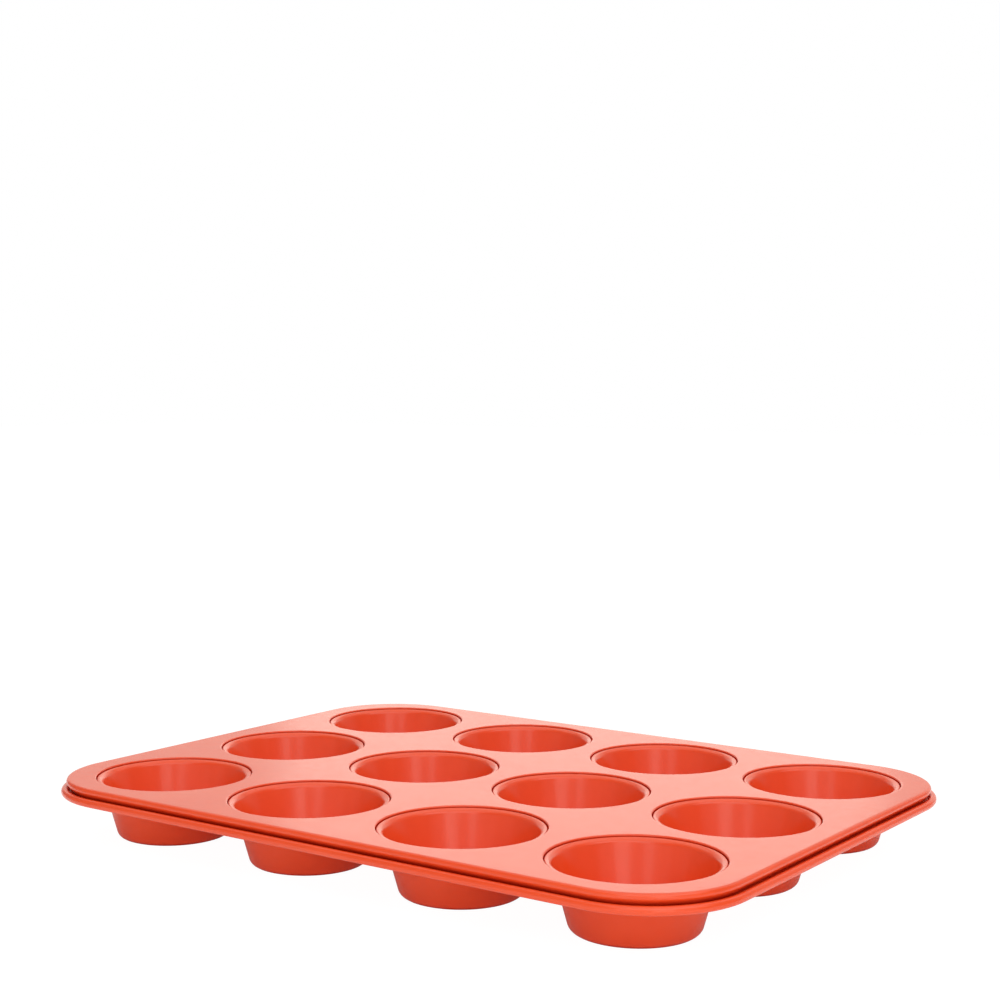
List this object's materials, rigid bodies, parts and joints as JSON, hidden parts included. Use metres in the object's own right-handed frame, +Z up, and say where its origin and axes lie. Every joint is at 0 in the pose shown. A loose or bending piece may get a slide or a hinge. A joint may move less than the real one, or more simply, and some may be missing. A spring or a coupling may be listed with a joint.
{
  "type": "muffin tin",
  "caption": "Shallow sheet-steel muffin tin with a coral non-stick coating: round straight-tapered cups seamed into a flat deck with a rolled, wired rim.",
  "frame": {"origin": "on the surface the tin rests on, under the middle of its outline", "axes": "+X along the longer side (the cups' rows), +Y across it towards the back row, +Z up out of the cups' mouths"},
  "size_m": [0.3568, 0.2652, 0.0285],
  "materials": {
    "coating": "satin coral-red non-stick coating on sheet steel",
    "wire": "plain drawn steel wire"
  },
  "bodies": {
    "root": {"deck_frame": "coating", "rim_wire": "wire", "cup_front_1": "coating", "cup_front_2": "coating", "cup_front_3": "coating", "cup_front_4": "coating", "cup_middle_1": "coating", "cup_middle_2": "coating", "cup_middle_3": "coating", "cup_middle_4": "coating", "cup_back_1": "coating", "cup_back_2": "coating", "cup_back_3": "coating", "cup_back_4": "coating"}
  },
  "joints": []
}
